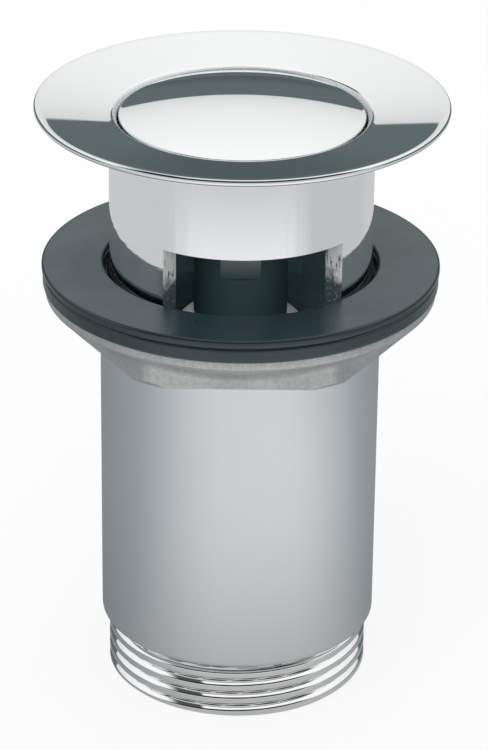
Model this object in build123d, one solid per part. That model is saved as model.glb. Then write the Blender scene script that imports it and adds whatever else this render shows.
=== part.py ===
from build123d import *
import math
import os

os.makedirs("parts", exist_ok=True)

# Pop up basin waste, millimetres. Z = 0 is the end of the threaded tail, +Z points up to the basin
# and -Y is the side in view. The plug is closed and the back nut stands high on its thread.

# Body: flange, throat and plain tube
overall_height = 97.3
flange_radius = 32.1
flange_roll = 9.0
flange_lean = 2.0
flange_corner_round = 0.1
flange_corner_turn = 50.0
flange_edge_round = 0.6
flange_under_turn = 60.0
flange_thickness = 1.35
flange_land = 2.0
funnel_depth = 1.67
throat_wall = 1.2
throat_depth = 1.65
throat_lip = 1.2
tube_wall = 3.3
neck_fillet = 1.4

# Body: G 1 1/4 threads of the back nut and the outlet, the relief between them and the bridge's ledge
thread_major_radius = 20.955
relief_radius = 19.4
nut_thread_top = 69.95
nut_thread_length = 23.5
tail_thread_length = 9.45
tail_chamfer = 0.35
tail_bore_chamfer = 0.5
ledge_width = 0.9

# Overflow windows, one in front and one behind
window_bottom = 61.95
window_height = 17.7
window_half_angle = 41.8

# Cap and the carrier under it
cap_radius = 19.1
cap_below_rim = 2.0
cap_rise = 1.87
cap_wall = 0.8
cap_skirt = 1.55
cap_edge_round = 0.15
carrier_plate = 0.7
carrier_boss_radius = 8.2
carrier_boss_height = 2.4
seal_groove_radius = 15.2
seal_height = 2.0
seal_inset = 0.85
seal_foot = 0.9

# Plunger and its lock nut
stud_radius = 3.9
stud_engagement = 4.6
lock_nut_flats = 13.0
lock_nut_height = 2.6
stud_chamfer = 0.5
rod_radius = 4.3
pusher_height = 3.0
plug_travel = 9.0

# Cartridge
housing_radius = 7.4
housing_wall = 1.2
housing_flats = 13.5
housing_flats_length = 14.1
bush_collar = 1.4
bush_depth = 2.6
o_ring_section = 0.65
ratchet_wall = 1.2
groove_count = 4
groove_width = 2.2
groove_depth = 0.8
ratchet_tooth = 1.1
rotor_height = 5.1
rotor_roof = 1.1
rotor_rib_height = 3.2
rotor_wall = 0.85
crown_teeth = 8
crown_tooth = 0.7
crown_width = 1.3
pilot_radius = 2.1
pilot_length = 2.4
spring_wire_radius = 0.3
spring_turns = 5
spring_seat_thickness = 0.4

# Bridge insert and the stud that holds the cartridge
hub_radius = 9.5
hub_height = 9.3
hub_chamfer = 0.8
bridge_wall = 1.8
bridge_height = 5.5
spoke_count = 4
spoke_width = 3.2
spoke_height = 4.5
spoke_round = 1.0
mount_stud_radius = 4.95
mount_stud_length = 8.0
mount_undercut = 0.6
mount_collar = 1.2
mount_spigot = 1.2
stud_washer_thickness = 0.6

# Back nut, rubber washers and cover sleeve
nut_bottom = 60.25
nut_height = 7.2
nut_flange_radius = 30.7
nut_rim = 1.7
nut_rim_round = 0.6
nut_cone_height = 3.3
nut_flats = 50.0
nut_corner_round = 2.5
nut_chamfer_width = 1.5
nut_chamfer_height = 1.4
nut_bore_chamfer = 0.4
washer_radius = 31.1
upper_washer_spread = 0.15
lower_washer_thickness = 2.25
upper_washer_thickness = 1.4
washer_round = 0.45
cover_wall = 0.95
cover_bottom = 9.55
cover_round = 0.8

# Clearances
throat_gap = 0.3
seal_gap = 0.12
nut_gap = 0.065
washer_gap = 0.65
cover_gap = 0.195
seated_gap = 0.03
thread_gap = 0.05
running_gap = 0.06
guide_gap = 0.15
stop_gap = 0.1
foot_gap = 0.7
nut_to_bush_gap = 0.6
rotor_foot_gap = 0.3

# Radii that follow
throat_radius = cap_radius + throat_gap
tube_radius = throat_radius + throat_wall
bore_radius = tube_radius - tube_wall
tail_bore_radius = bore_radius - ledge_width
nut_bore_radius = thread_major_radius + nut_gap
washer_hole_radius = max(tube_radius, thread_major_radius) + washer_gap
upper_washer_radius = washer_radius + upper_washer_spread
cover_bore_radius = thread_major_radius + cover_gap
housing_bore_radius = housing_radius - housing_wall
ratchet_outer_radius = housing_bore_radius - seated_gap
ratchet_inner_radius = housing_bore_radius - ratchet_wall
groove_radius = ratchet_inner_radius + groove_depth
collar_radius = ratchet_inner_radius - guide_gap
rib_radius = groove_radius - guide_gap
rib_width = groove_width - 2 * guide_gap
rotor_bore_radius = collar_radius - rotor_wall
spring_radius = rotor_bore_radius - guide_gap - spring_wire_radius
rod_bore_radius = rod_radius + running_gap
rim_reach = flange_edge_round - flange_corner_round
land_radius = flange_radius - flange_edge_round * (1 - math.cos(math.radians(flange_under_turn)))

# Heights that follow, from the flange down
rim_corner_height = overall_height - flange_corner_round
rim_edge_height = rim_corner_height - rim_reach * math.sin(math.radians(flange_corner_turn))
rim_bottom = rim_edge_height - flange_edge_round * math.sin(math.radians(flange_under_turn))
lip_height = overall_height - funnel_depth
cap_edge = overall_height - cap_below_rim
cap_bottom = cap_edge - cap_skirt
seat_height = cap_bottom - throat_depth
plate_bottom = cap_bottom - carrier_plate
groove_bottom = plate_bottom - seal_height
foot_bottom = groove_bottom - seal_foot
boss_bottom = foot_bottom - carrier_boss_height
lock_nut_bottom = boss_bottom - lock_nut_height
bush_top = lock_nut_bottom - nut_to_bush_gap
housing_top = bush_top - bush_collar
bush_bottom = housing_top - bush_depth
pusher_top = bush_bottom - stop_gap - plug_travel
pusher_bottom = pusher_top - pusher_height
rotor_top = pusher_bottom - stop_gap
rotor_bottom = rotor_top - rotor_height
rotor_roof_bottom = rotor_top - rotor_roof
seat_washer_top = rotor_bottom - rotor_foot_gap
housing_bottom = seat_washer_top - spring_seat_thickness
collar_bottom = housing_bottom - mount_collar
hub_top = collar_bottom - stud_washer_thickness
ledge_height = hub_top - hub_height

# Heights that follow, from the back nut up
nut_top = nut_bottom + nut_height
lower_washer_top = nut_top + lower_washer_thickness
upper_washer_top = lower_washer_top + upper_washer_thickness


def disc(radius, bottom, top):
    """Cylinder about Z between two heights."""
    return Pos(0, 0, bottom) * Cylinder(radius, top - bottom, align=(Align.CENTER, Align.CENTER, Align.MIN))


def ring(outer, inner, bottom, top):
    """Plain ring about Z between two heights."""
    return disc(outer, bottom, top) - disc(inner, bottom, top)


def hexagon(flats, bottom, top, corner_round=0.0):
    """Hexagonal prism about Z with a flat in front."""
    outline = RegularPolygon(flats / 2, 6, major_radius=False)
    if corner_round > 0:
        outline = fillet(outline.vertices(), corner_round)
    return Pos(0, 0, bottom) * extrude(outline, amount=top - bottom)


def spun(edges):
    """Solid of revolution about Z from an outline of radius and height."""
    return revolve(Plane.XZ * make_face(Curve() + edges), axis=Axis.Z)


def arc(centre, radius, start, end):
    """Arc about a centre between two angles in degrees."""
    angles = [math.radians(angle) for angle in (start, (start + end) / 2, end)]
    return ThreePointArc(
        *[(centre[0] + radius * math.cos(angle), centre[1] + radius * math.sin(angle)) for angle in angles]
    )


def turned(*points):
    """Solid of revolution about Z from straight lines between points of radius and height."""
    return spun([Polyline(*points, close=True)])


def around(shape, count, start=0.0):
    """Copies of a shape at equal angles about Z."""
    return [Rot(0, 0, start + turn * 360 / count) * shape for turn in range(count)]


def body():
    """Funnel flange, throat, slotted tube and threaded tail, turned in one piece."""
    shoulder = nut_thread_top + abs(thread_major_radius - tube_radius)
    nut_thread_bottom = nut_thread_top - nut_thread_length
    relief_depth = thread_major_radius - relief_radius
    seat_bottom = seat_height - (throat_radius - bore_radius)
    under_height = lip_height - flange_thickness
    neck = (tube_radius + neck_fillet, under_height - neck_fillet)

    # the rim rolls over from the funnel's cone to a tight corner above its round edge
    edge = (flange_radius - flange_edge_round, rim_edge_height)
    corner = (edge[0] + rim_reach * math.cos(math.radians(flange_corner_turn)), rim_corner_height)
    crown_turn = 90 + flange_lean
    roll_left = flange_roll - flange_corner_round
    roll_centre = (
        corner[0] - roll_left * math.cos(math.radians(crown_turn)),
        corner[1] - roll_left * math.sin(math.radians(crown_turn)),
    )
    lip = (throat_radius + throat_lip, lip_height - throat_lip)
    across, rise = roll_centre[0] - lip[0], roll_centre[1] - lip[1]
    funnel = math.atan2(rise, across) + math.asin((flange_roll - throat_lip) / math.hypot(across, rise))
    cone_turn = 90 + math.degrees(funnel)
    roll = arc(roll_centre, flange_roll, crown_turn, cone_turn)
    lip_round = arc(lip, throat_lip, cone_turn, 180)
    solid = spun(
        [
            Polyline(
                (tail_bore_radius, tail_bore_chamfer),
                (tail_bore_radius + tail_bore_chamfer, 0),
                (thread_major_radius - tail_chamfer, 0),
                (thread_major_radius, tail_chamfer),
                (thread_major_radius, tail_thread_length),
                (relief_radius, tail_thread_length + relief_depth),
                (relief_radius, nut_thread_bottom - relief_depth),
                (thread_major_radius, nut_thread_bottom),
                (thread_major_radius, nut_thread_top),
                (tube_radius, shoulder),
                (tube_radius, under_height - neck_fillet),
            ),
            arc(neck, neck_fillet, 180, 90),
            Polyline(
                (tube_radius + neck_fillet, under_height),
                (land_radius - flange_land, rim_bottom),
                (land_radius, rim_bottom),
            ),
            arc(edge, flange_edge_round, -flange_under_turn, flange_corner_turn),
            arc(corner, flange_corner_round, flange_corner_turn, crown_turn),
            roll,
            Line(roll @ 1, lip_round @ 0),
            lip_round,
            Polyline(
                (throat_radius, lip[1]),
                (throat_radius, seat_height),
                (bore_radius, seat_bottom),
                (bore_radius, ledge_height),
                (tail_bore_radius, ledge_height),
                (tail_bore_radius, tail_bore_chamfer),
            ),
        ]
    )
    reach = 2 * flange_radius
    half_angle = math.radians(window_half_angle)
    side = reach * math.sin(half_angle)
    front = -reach * math.cos(half_angle)
    sector = make_face(Polyline((0, 0), (side, front), (-side, front), close=True))
    window = Pos(0, 0, window_bottom) * extrude(sector, amount=window_height)
    for cut in around(window, 2):
        solid -= cut
    return solid


def bridge_insert():
    """Ring on the ledge of the bore, spokes and a hub with a through hole."""
    outer = bore_radius - seated_gap
    inner = outer - bridge_wall
    solid = ring(outer, inner, ledge_height, ledge_height + bridge_height)
    section = RectangleRounded(spoke_width, spoke_height, spoke_round)
    middle = ledge_height + spoke_height / 2
    spoke = extrude(Plane.YZ * Pos(0, middle) * section, amount=inner + bridge_wall / 2)
    for arm in around(spoke, spoke_count, 180 / spoke_count):
        solid += arm
    solid += turned(
        (0, ledge_height),
        (hub_radius - hub_chamfer, ledge_height),
        (hub_radius, ledge_height + hub_chamfer),
        (hub_radius, hub_top),
        (0, hub_top),
    )
    return solid - disc(mount_stud_radius + thread_gap, ledge_height, hub_top)


def dome(edge_radius, edge_height, rise):
    """Arc of a spherical dome from its top on the axis to its edge."""
    sphere = (edge_radius**2 + rise**2) / (2 * rise)
    half = edge_radius / 2
    drop = sphere - math.sqrt(sphere**2 - half**2)
    top = edge_height + rise
    return ThreePointArc((0, top), (half, top - drop), (edge_radius, edge_height))


def plug_cap():
    """Pressed dome with a rounded edge and a short skirt."""
    inner = cap_radius - cap_wall
    inner_edge = cap_edge - cap_wall
    shoulder = cap_radius - cap_edge_round
    return spun(
        [
            dome(shoulder, cap_edge, cap_rise),
            arc((shoulder, cap_edge - cap_edge_round), cap_edge_round, 90, 0),
            Polyline(
                (cap_radius, cap_edge - cap_edge_round),
                (cap_radius, cap_bottom),
                (inner, cap_bottom),
                (inner, inner_edge),
            ),
            dome(inner, inner_edge, cap_rise),
            Line((0, inner_edge + cap_rise), (0, cap_edge + cap_rise)),
        ]
    )


def cap_carrier():
    """Core of the cap: domed plate, seal groove, foot and threaded boss."""
    plate_radius = cap_radius - cap_wall - seated_gap
    foot_radius = bore_radius - foot_gap
    edge = cap_edge - cap_wall - seated_gap
    solid = spun(
        [
            dome(plate_radius, edge, cap_rise),
            Polyline(
                (plate_radius, edge),
                (plate_radius, plate_bottom),
                (seal_groove_radius, plate_bottom),
                (seal_groove_radius, groove_bottom),
                (foot_radius, groove_bottom),
                (foot_radius, foot_bottom),
                (carrier_boss_radius, foot_bottom),
                (carrier_boss_radius, boss_bottom),
                (0, boss_bottom),
                (0, edge + cap_rise),
            ),
        ]
    )
    return solid - disc(stud_radius + thread_gap, boss_bottom, boss_bottom + stud_engagement + stop_gap)


def plug_seal():
    """Rubber ring in the carrier's groove, bevelled to lie along the conical seat."""
    inner = seal_groove_radius + seated_gap
    outer = throat_radius - seal_inset
    top = plate_bottom - seated_gap
    bottom = groove_bottom + seated_gap
    cone_rise = seal_gap * math.sqrt(2)
    bevel_top = seat_height - seal_inset + cone_rise
    bevel_radius = throat_radius - (seat_height + cone_rise - bottom)
    return turned((inner, bottom), (bevel_radius, bottom), (outer, bevel_top), (outer, top), (inner, top))


def cap_lock_nut():
    """Thin hexagon nut with chamfered corners, between the plunger's shoulder and the boss."""
    flat = lock_nut_flats / 2
    corner = flat / math.cos(math.pi / 6)
    drop = (corner - flat) * math.tan(math.pi / 6)
    envelope = turned(
        (0, lock_nut_bottom),
        (flat, lock_nut_bottom),
        (corner, lock_nut_bottom + drop),
        (corner, boss_bottom - drop),
        (flat, boss_bottom),
        (0, boss_bottom),
    )
    solid = hexagon(lock_nut_flats, lock_nut_bottom, boss_bottom) & envelope
    return solid - disc(stud_radius + thread_gap, lock_nut_bottom, boss_bottom)


def ribs(bottom, top, inner):
    """Guide ribs that run in the grooves of the ratchet sleeve."""
    bar = Pos(0, 0, bottom) * Box(
        rib_radius, rib_width, top - bottom, align=(Align.MIN, Align.CENTER, Align.MIN)
    )
    bars = Part() + around(bar, groove_count)
    return (bars & disc(rib_radius, bottom, top)) - disc(inner, bottom, top)


def crown_prism(depth, width):
    """Radial V bar with its edge up, from the pilot to beyond the collar."""
    outline = make_face(Polyline((-width / 2, 0), (width / 2, 0), (0, depth), close=True))
    reach = collar_radius - pilot_radius - guide_gap
    return Plane(origin=(pilot_radius + guide_gap, 0, 0), x_dir=(0, 1, 0), z_dir=(1, 0, 0)) * extrude(
        outline, amount=reach
    )


def plunger():
    """Stud, guide rod and pusher collar with ribs, crown notches and the bore of the pilot."""
    stud_top = boss_bottom + stud_engagement
    solid = turned(
        (0, pusher_top),
        (rod_radius, pusher_top),
        (rod_radius, lock_nut_bottom),
        (stud_radius, lock_nut_bottom),
        (stud_radius, stud_top - stud_chamfer),
        (stud_radius - stud_chamfer, stud_top),
        (0, stud_top),
    )
    solid += disc(collar_radius, pusher_bottom, pusher_top)
    solid += ribs(pusher_bottom, pusher_top, pilot_radius + guide_gap)
    notch = Pos(0, 0, pusher_bottom) * crown_prism(crown_tooth + stop_gap, crown_width + stop_gap)
    for cut in around(notch, crown_teeth, 180 / crown_teeth):
        solid -= cut
    return solid - disc(pilot_radius + guide_gap, pusher_bottom, rotor_top + pilot_length + stop_gap)


def rotor():
    """Turning cam: cup over the spring with ribs, crown teeth and a pilot pin."""
    solid = disc(collar_radius, rotor_bottom, rotor_top)
    solid += ribs(rotor_top - rotor_rib_height, rotor_top, rotor_bore_radius)
    tooth = Pos(0, 0, rotor_top) * crown_prism(crown_tooth, crown_width)
    limit = disc(collar_radius, rotor_top, rotor_top + crown_tooth)
    for bar in around(tooth, crown_teeth, 180 / crown_teeth):
        solid += bar & limit
    solid += disc(pilot_radius, rotor_top, rotor_top + pilot_length)
    return solid - disc(rotor_bore_radius, rotor_bottom, rotor_roof_bottom)


def between_flats(bottom, top):
    """Slab between the cartridge's two spanner flats, one in front and one behind."""
    return Pos(0, 0, bottom) * Box(
        2 * housing_radius, housing_flats, top - bottom, align=(Align.CENTER, Align.CENTER, Align.MIN)
    )


def cartridge_housing():
    """Tube around the mechanism, with spanner flats down from its mouth."""
    flats_bottom = bush_top - housing_flats_length
    solid = disc(housing_radius, housing_bottom, flats_bottom)
    solid += disc(housing_radius, flats_bottom, housing_top) & between_flats(flats_bottom, housing_top)
    return solid - disc(housing_bore_radius, housing_bottom, housing_top)


def guide_bush():
    """Collared bush in the housing's mouth with the groove of its rod seal."""
    solid = disc(housing_radius, housing_top, bush_top) & between_flats(housing_top, bush_top)
    solid += disc(housing_bore_radius - seated_gap, bush_bottom, housing_top)
    solid -= disc(rod_bore_radius, bush_bottom, bush_top)
    middle = bush_bottom + bush_depth / 2
    half = o_ring_section + seated_gap
    groove = disc(rod_bore_radius + 2 * o_ring_section + seated_gap, middle - half, middle + half)
    return solid - groove


def bush_o_ring():
    """Rod seal in the bush."""
    middle = bush_bottom + bush_depth / 2
    return Pos(0, 0, middle) * Torus(rod_bore_radius + o_ring_section, o_ring_section)


def ratchet_sleeve():
    """Fixed sleeve with through grooves and slanted teeth at its foot."""
    bottom = rotor_top + stop_gap
    solid = ring(ratchet_outer_radius, ratchet_inner_radius, bottom, bush_bottom)
    groove = Pos(0, 0, bottom) * Box(
        groove_radius, groove_width, bush_bottom - bottom, align=(Align.MIN, Align.CENTER, Align.MIN)
    )
    pitch = 2 * math.pi * ratchet_inner_radius / groove_count
    land = pitch - groove_width
    outline = make_face(Polyline((-land / 2, 0), (land / 2, 0), (land / 2, ratchet_tooth), close=True))
    slope = Plane(origin=(0, 0, bottom), x_dir=(0, 1, 0), z_dir=(1, 0, 0)) * extrude(
        outline, amount=housing_radius
    )
    for cut in around(groove, groove_count) + around(slope, groove_count, 180 / groove_count):
        solid -= cut
    return solid


def return_spring():
    """Compression spring between the seat washer and the rotor's roof, at its closed length."""
    low = seat_washer_top + spring_wire_radius + stop_gap / 2
    high = rotor_roof_bottom - spring_wire_radius - stop_gap / 2
    height = high - low
    path = Helix(pitch=height / spring_turns, height=height, radius=spring_radius)
    section = Plane(origin=path @ 0, z_dir=path % 0) * Circle(spring_wire_radius)
    return Pos(0, 0, low) * sweep(section, path=path, is_frenet=True)


def spring_seat():
    """Steel washer under the spring."""
    return ring(collar_radius, pilot_radius, housing_bottom, seat_washer_top)


def mounting_stud():
    """Foot of the cartridge: spigot in the housing, collar and threaded stud with an undercut."""
    stud_bottom = collar_bottom - mount_stud_length
    undercut_radius = mount_stud_radius - mount_undercut
    solid = disc(housing_radius, collar_bottom, housing_bottom)
    solid += ring(
        housing_bore_radius - seated_gap,
        collar_radius + guide_gap,
        housing_bottom,
        housing_bottom + mount_spigot,
    )
    return solid + turned(
        (0, stud_bottom),
        (mount_stud_radius - stud_chamfer, stud_bottom),
        (mount_stud_radius, stud_bottom + stud_chamfer),
        (mount_stud_radius, collar_bottom - 2 * mount_undercut),
        (undercut_radius, collar_bottom - mount_undercut),
        (undercut_radius, collar_bottom),
        (0, collar_bottom),
    )


def stud_washer():
    """Fibre washer between the collar and the hub."""
    return ring(housing_radius, mount_stud_radius + thread_gap, hub_top, collar_bottom)


def back_nut():
    """Cast nut: round flange, cone and a hexagon with rounded corners."""
    rim_bottom = nut_top - nut_rim
    cone_bottom = rim_bottom - nut_cone_height
    across = nut_flats / 2
    solid = turned(
        (nut_bore_radius, cone_bottom),
        (across, cone_bottom),
        (nut_flange_radius, rim_bottom),
        (nut_flange_radius, nut_top),
        (nut_bore_radius, nut_top),
    )
    rim_edges = solid.edges().filter_by(GeomType.CIRCLE).group_by(SortBy.RADIUS)[-1]
    solid = fillet(rim_edges.sort_by(Axis.Z)[0], nut_rim_round)
    corner = across / math.cos(math.pi / 6)
    envelope = turned(
        (0, nut_bottom),
        (corner - nut_chamfer_width, nut_bottom),
        (corner, nut_bottom + nut_chamfer_height),
        (corner, rim_bottom),
        (0, rim_bottom),
    )
    solid += hexagon(nut_flats, nut_bottom, rim_bottom, nut_corner_round) & envelope
    return solid - turned(
        (0, nut_bottom),
        (nut_bore_radius + nut_bore_chamfer, nut_bottom),
        (nut_bore_radius, nut_bottom + nut_bore_chamfer),
        (nut_bore_radius, nut_top - nut_bore_chamfer),
        (nut_bore_radius + nut_bore_chamfer, nut_top),
        (0, nut_top),
    )


def rubber_washer(outer, bottom, top):
    """Flat rubber ring with rounded edges."""
    width = outer - washer_hole_radius
    middle = (outer + washer_hole_radius) / 2
    section = Pos(middle, (bottom + top) / 2) * RectangleRounded(width, top - bottom, washer_round)
    return revolve(Plane.XZ * section, axis=Axis.Z)


def cover_sleeve():
    """Thin satin tube over the thread, rounded at its lower edge."""
    outer = cover_bore_radius + cover_wall
    return spun(
        [
            Polyline(
                (outer - cover_round, cover_bottom),
                (cover_bore_radius, cover_bottom),
                (cover_bore_radius, nut_bottom),
                (outer, nut_bottom),
                (outer, cover_bottom + cover_round),
            ),
            arc((outer - cover_round, cover_bottom + cover_round), cover_round, 0, -90),
        ]
    )


pieces = {
    "body": body(),
    "bridge_insert": bridge_insert(),
    "plug_cap": plug_cap(),
    "cap_carrier": cap_carrier(),
    "plug_seal": plug_seal(),
    "cap_lock_nut": cap_lock_nut(),
    "plunger": plunger(),
    "rotor": rotor(),
    "cartridge_housing": cartridge_housing(),
    "guide_bush": guide_bush(),
    "bush_o_ring": bush_o_ring(),
    "ratchet_sleeve": ratchet_sleeve(),
    "return_spring": return_spring(),
    "spring_seat": spring_seat(),
    "mounting_stud": mounting_stud(),
    "stud_washer": stud_washer(),
    "back_nut": back_nut(),
    "lower_washer": rubber_washer(washer_radius, nut_top, lower_washer_top),
    "upper_washer": rubber_washer(upper_washer_radius, lower_washer_top, upper_washer_top),
    "cover_sleeve": cover_sleeve(),
}

for name, piece in pieces.items():
    export_step(piece, f"parts/{name}.step")
    print(name, round(piece.volume, 1))
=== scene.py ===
import math

import bmesh
import bpy
from mathutils import Matrix, Vector, noise


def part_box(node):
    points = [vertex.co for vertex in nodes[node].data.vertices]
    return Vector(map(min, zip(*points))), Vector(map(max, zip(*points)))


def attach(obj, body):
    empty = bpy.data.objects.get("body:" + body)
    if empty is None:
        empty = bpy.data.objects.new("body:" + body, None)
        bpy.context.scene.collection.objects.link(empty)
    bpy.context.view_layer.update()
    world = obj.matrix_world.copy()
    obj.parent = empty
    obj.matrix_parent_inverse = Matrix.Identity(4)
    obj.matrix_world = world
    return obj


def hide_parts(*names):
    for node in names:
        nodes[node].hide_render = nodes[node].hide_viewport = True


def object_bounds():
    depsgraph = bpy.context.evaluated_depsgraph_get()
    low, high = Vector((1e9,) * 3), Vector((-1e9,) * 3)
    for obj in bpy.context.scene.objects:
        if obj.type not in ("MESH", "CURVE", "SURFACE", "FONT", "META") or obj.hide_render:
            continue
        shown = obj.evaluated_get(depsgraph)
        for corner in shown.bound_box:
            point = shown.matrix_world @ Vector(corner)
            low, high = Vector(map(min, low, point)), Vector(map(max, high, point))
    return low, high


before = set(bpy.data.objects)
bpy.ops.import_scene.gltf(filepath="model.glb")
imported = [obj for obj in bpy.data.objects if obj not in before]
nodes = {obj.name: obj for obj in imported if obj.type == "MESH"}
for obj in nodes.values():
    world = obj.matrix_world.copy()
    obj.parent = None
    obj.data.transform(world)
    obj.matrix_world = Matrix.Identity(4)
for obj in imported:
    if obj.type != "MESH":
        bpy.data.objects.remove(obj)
cadLow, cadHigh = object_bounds()
mm = 0.001
turn = 2 * math.pi
holdBack = 0.12 * mm  # how far the rows that keep a straight run flat lie from its ends
mergeWithin = 0.2e-6
close = 0.01 * mm  # places nearer than this count as the same
print("frame loaded:", len(nodes), "nodes")


# Outlines are lists of (radius, height) in metres, spun about Z.
def arcRound(centre, radius, start, end, steps):
    angles = [math.radians(start + (end - start) * i / steps) for i in range(steps + 1)]
    return [(centre[0] + radius * math.cos(a), centre[1] + radius * math.sin(a)) for a in angles]


def mixPoint(first, second, share):
    return tuple(a + (b - a) * share for a, b in zip(first, second))


def domeArc(edge, rise, steps):  # from the top on the axis down to the edge
    radius = (edge[0] ** 2 + rise**2) / (2 * rise)
    reach = math.degrees(math.asin(edge[0] / radius))
    arc = arcRound((0, edge[1] + rise - radius), radius, 90, 90 - reach, steps)
    return [(0, edge[1] + rise)] + arc[1:]


def rowsBetween(bottom, top, spacing):
    count = max(1, round((top - bottom) / spacing))
    return [bottom + (top - bottom) * i / count for i in range(count + 1)]


# Rows near the ends of straight runs keep them flat under smooth shading.
def heldOutline(outline, hold=holdBack, closed=False):
    ends = outline[1:] + outline[:1] if closed else outline[1:]
    held = []
    for here, there in zip(outline, ends):
        held.append(here)
        length = math.dist(here, there)
        if length > 6 * hold:
            held += [mixPoint(here, there, hold / length), mixPoint(here, there, 1 - hold / length)]
    return held if closed else held + [outline[-1]]


def spinOutline(bm, outline, start=0.0, sweep=360.0, steps=240, closed=True):
    place = Matrix.Rotation(math.radians(start), 3, "Z")
    verts = [bm.verts.new(place @ Vector((r, 0, z))) for r, z in outline]
    edges = [bm.edges.new(pair) for pair in zip(verts, verts[1:])]
    if closed:
        edges.append(bm.edges.new((verts[-1], verts[0])))
    bmesh.ops.spin(
        bm, geom=verts + edges, cent=(0, 0, 0), axis=(0, 0, 1), angle=math.radians(sweep),
        steps=steps, use_merge=sweep == 360.0,
    )


def tidyMesh(bm):
    bmesh.ops.remove_doubles(bm, verts=bm.verts, dist=mergeWithin)
    bmesh.ops.recalc_face_normals(bm, faces=bm.faces)


def makePiece(name, bm, body, replaced, materials, sharper=40):
    mesh = bpy.data.meshes.new(name)
    bm.to_mesh(mesh)
    bm.free()
    mesh.shade_smooth()
    mesh.set_sharp_from_angle(angle=math.radians(sharper))
    for material in materials:
        mesh.materials.append(material)
    piece = bpy.data.objects.new(name, mesh)
    bpy.context.scene.collection.objects.link(piece)
    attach(piece, body)
    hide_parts(replaced)
    print("piece", name, len(mesh.polygons), "faces")


# Shader groups that several finishes share.
def newGroup(name, inputs, outputs):
    group = bpy.data.node_groups.new(name, "ShaderNodeTree")
    for label, kind, value in inputs:
        socket = group.interface.new_socket(label, in_out="INPUT", socket_type=kind)
        if value is not None:
            socket.default_value = value
    for label, kind in outputs:
        group.interface.new_socket(label, in_out="OUTPUT", socket_type=kind)
    tree = group.nodes
    return group, tree.new("NodeGroupInput"), tree.new("NodeGroupOutput")


def link(tree, source, target):
    tree.links.new(source, target)


def mathNode(tree, operation, first, second=None, clamp=False):
    node = tree.nodes.new("ShaderNodeMath")
    node.operation = operation
    node.use_clamp = clamp
    for socket, value in zip(node.inputs, (first, second)):
        if value is None:
            continue
        if isinstance(value, (int, float)):
            socket.default_value = value
        else:
            tree.links.new(value, socket)
    return node.outputs[0]


def noiseNode(tree, vector, scale, detail=3.0, roughness=0.5):
    node = tree.nodes.new("ShaderNodeTexNoise")
    node.inputs["Detail"].default_value = detail
    node.inputs["Roughness"].default_value = roughness
    tree.links.new(vector, node.inputs["Vector"])
    if isinstance(scale, (int, float)):
        node.inputs["Scale"].default_value = scale
    else:
        tree.links.new(scale, node.inputs["Scale"])
    return node.outputs["Fac"]


def mapRange(tree, value, fromMin, fromMax, toMin, toMax, smooth=False):
    node = tree.nodes.new("ShaderNodeMapRange")
    node.interpolation_type = "SMOOTHSTEP" if smooth else "LINEAR"
    for socket, given in zip(node.inputs, (value, fromMin, fromMax, toMin, toMax)):
        if isinstance(given, (int, float)):
            socket.default_value = given
        else:
            tree.links.new(given, socket)
    return node.outputs["Result"]


def mixColour(tree, factor, first, second):
    node = tree.nodes.new("ShaderNodeMix")
    node.data_type = "RGBA"
    for socket, given in ((node.inputs[0], factor), (node.inputs[6], first), (node.inputs[7], second)):
        if isinstance(given, (int, float)):
            socket.default_value = given
        elif isinstance(given, tuple):
            socket.default_value = (*given, 1.0)[:4]
        else:
            tree.links.new(given, socket)
    return node.outputs[2]


def handlingGroup():  # soft smudges: roughness between a clean and a handled value
    group, given, made = newGroup(
        "handling",
        [
            ("Vector", "NodeSocketVector", None),
            ("Scale", "NodeSocketFloat", 90.0),
            ("Clean", "NodeSocketFloat", 0.04),
            ("Handled", "NodeSocketFloat", 0.10),
        ],
        [("Roughness", "NodeSocketFloat"), ("Mask", "NodeSocketFloat")],
    )
    broad = noiseNode(group, given.outputs["Vector"], given.outputs["Scale"], 4.0, 0.55)
    mask = mapRange(group, broad, 0.42, 0.68, 0.0, 1.0, smooth=True)
    rough = mapRange(group, mask, 0.0, 1.0, given.outputs["Clean"], given.outputs["Handled"])
    link(group, rough, made.inputs["Roughness"])
    link(group, mask, made.inputs["Mask"])
    return group


def grainGroup():  # cast or moulded grain: height, and a mask of its hollows
    group, given, made = newGroup(
        "grain",
        [
            ("Vector", "NodeSocketVector", None),
            ("Fine", "NodeSocketFloat", 2500.0),
            ("Coarse", "NodeSocketFloat", 500.0),
        ],
        [("Height", "NodeSocketFloat"), ("Hollows", "NodeSocketFloat")],
    )
    fine = noiseNode(group, given.outputs["Vector"], given.outputs["Fine"], 4.0, 0.6)
    coarse = noiseNode(group, given.outputs["Vector"], given.outputs["Coarse"], 3.0, 0.5)
    fineShare = mathNode(group, "MULTIPLY", fine, 0.6)
    coarseShare = mathNode(group, "MULTIPLY", coarse, 0.4)
    height = mathNode(group, "ADD", fineShare, coarseShare)
    hollows = mapRange(group, height, 0.38, 0.6, 1.0, 0.0, smooth=True)
    link(group, height, made.inputs["Height"])
    link(group, hollows, made.inputs["Hollows"])
    return group


def turningGroup():  # fine rings left by the lathe, broken up round the piece
    group, given, made = newGroup(
        "turningMarks",
        [
            ("Vector", "NodeSocketVector", None),
            ("Density", "NodeSocketFloat", 9000.0),
        ],
        [("Height", "NodeSocketFloat")],
    )
    split = group.nodes.new("ShaderNodeSeparateXYZ")
    join = group.nodes.new("ShaderNodeCombineXYZ")
    link(group, given.outputs["Vector"], split.inputs[0])
    for axis, scale in (("X", 60.0), ("Y", 60.0), ("Z", given.outputs["Density"])):
        link(group, mathNode(group, "MULTIPLY", split.outputs[axis], scale), join.inputs[axis])
    rings = noiseNode(group, join.outputs[0], 1.0, 2.0, 0.6)
    link(group, rings, made.inputs["Height"])
    return group


handling = handlingGroup()
grain = grainGroup()
turningMarks = turningGroup()
print("shader groups made")


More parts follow.
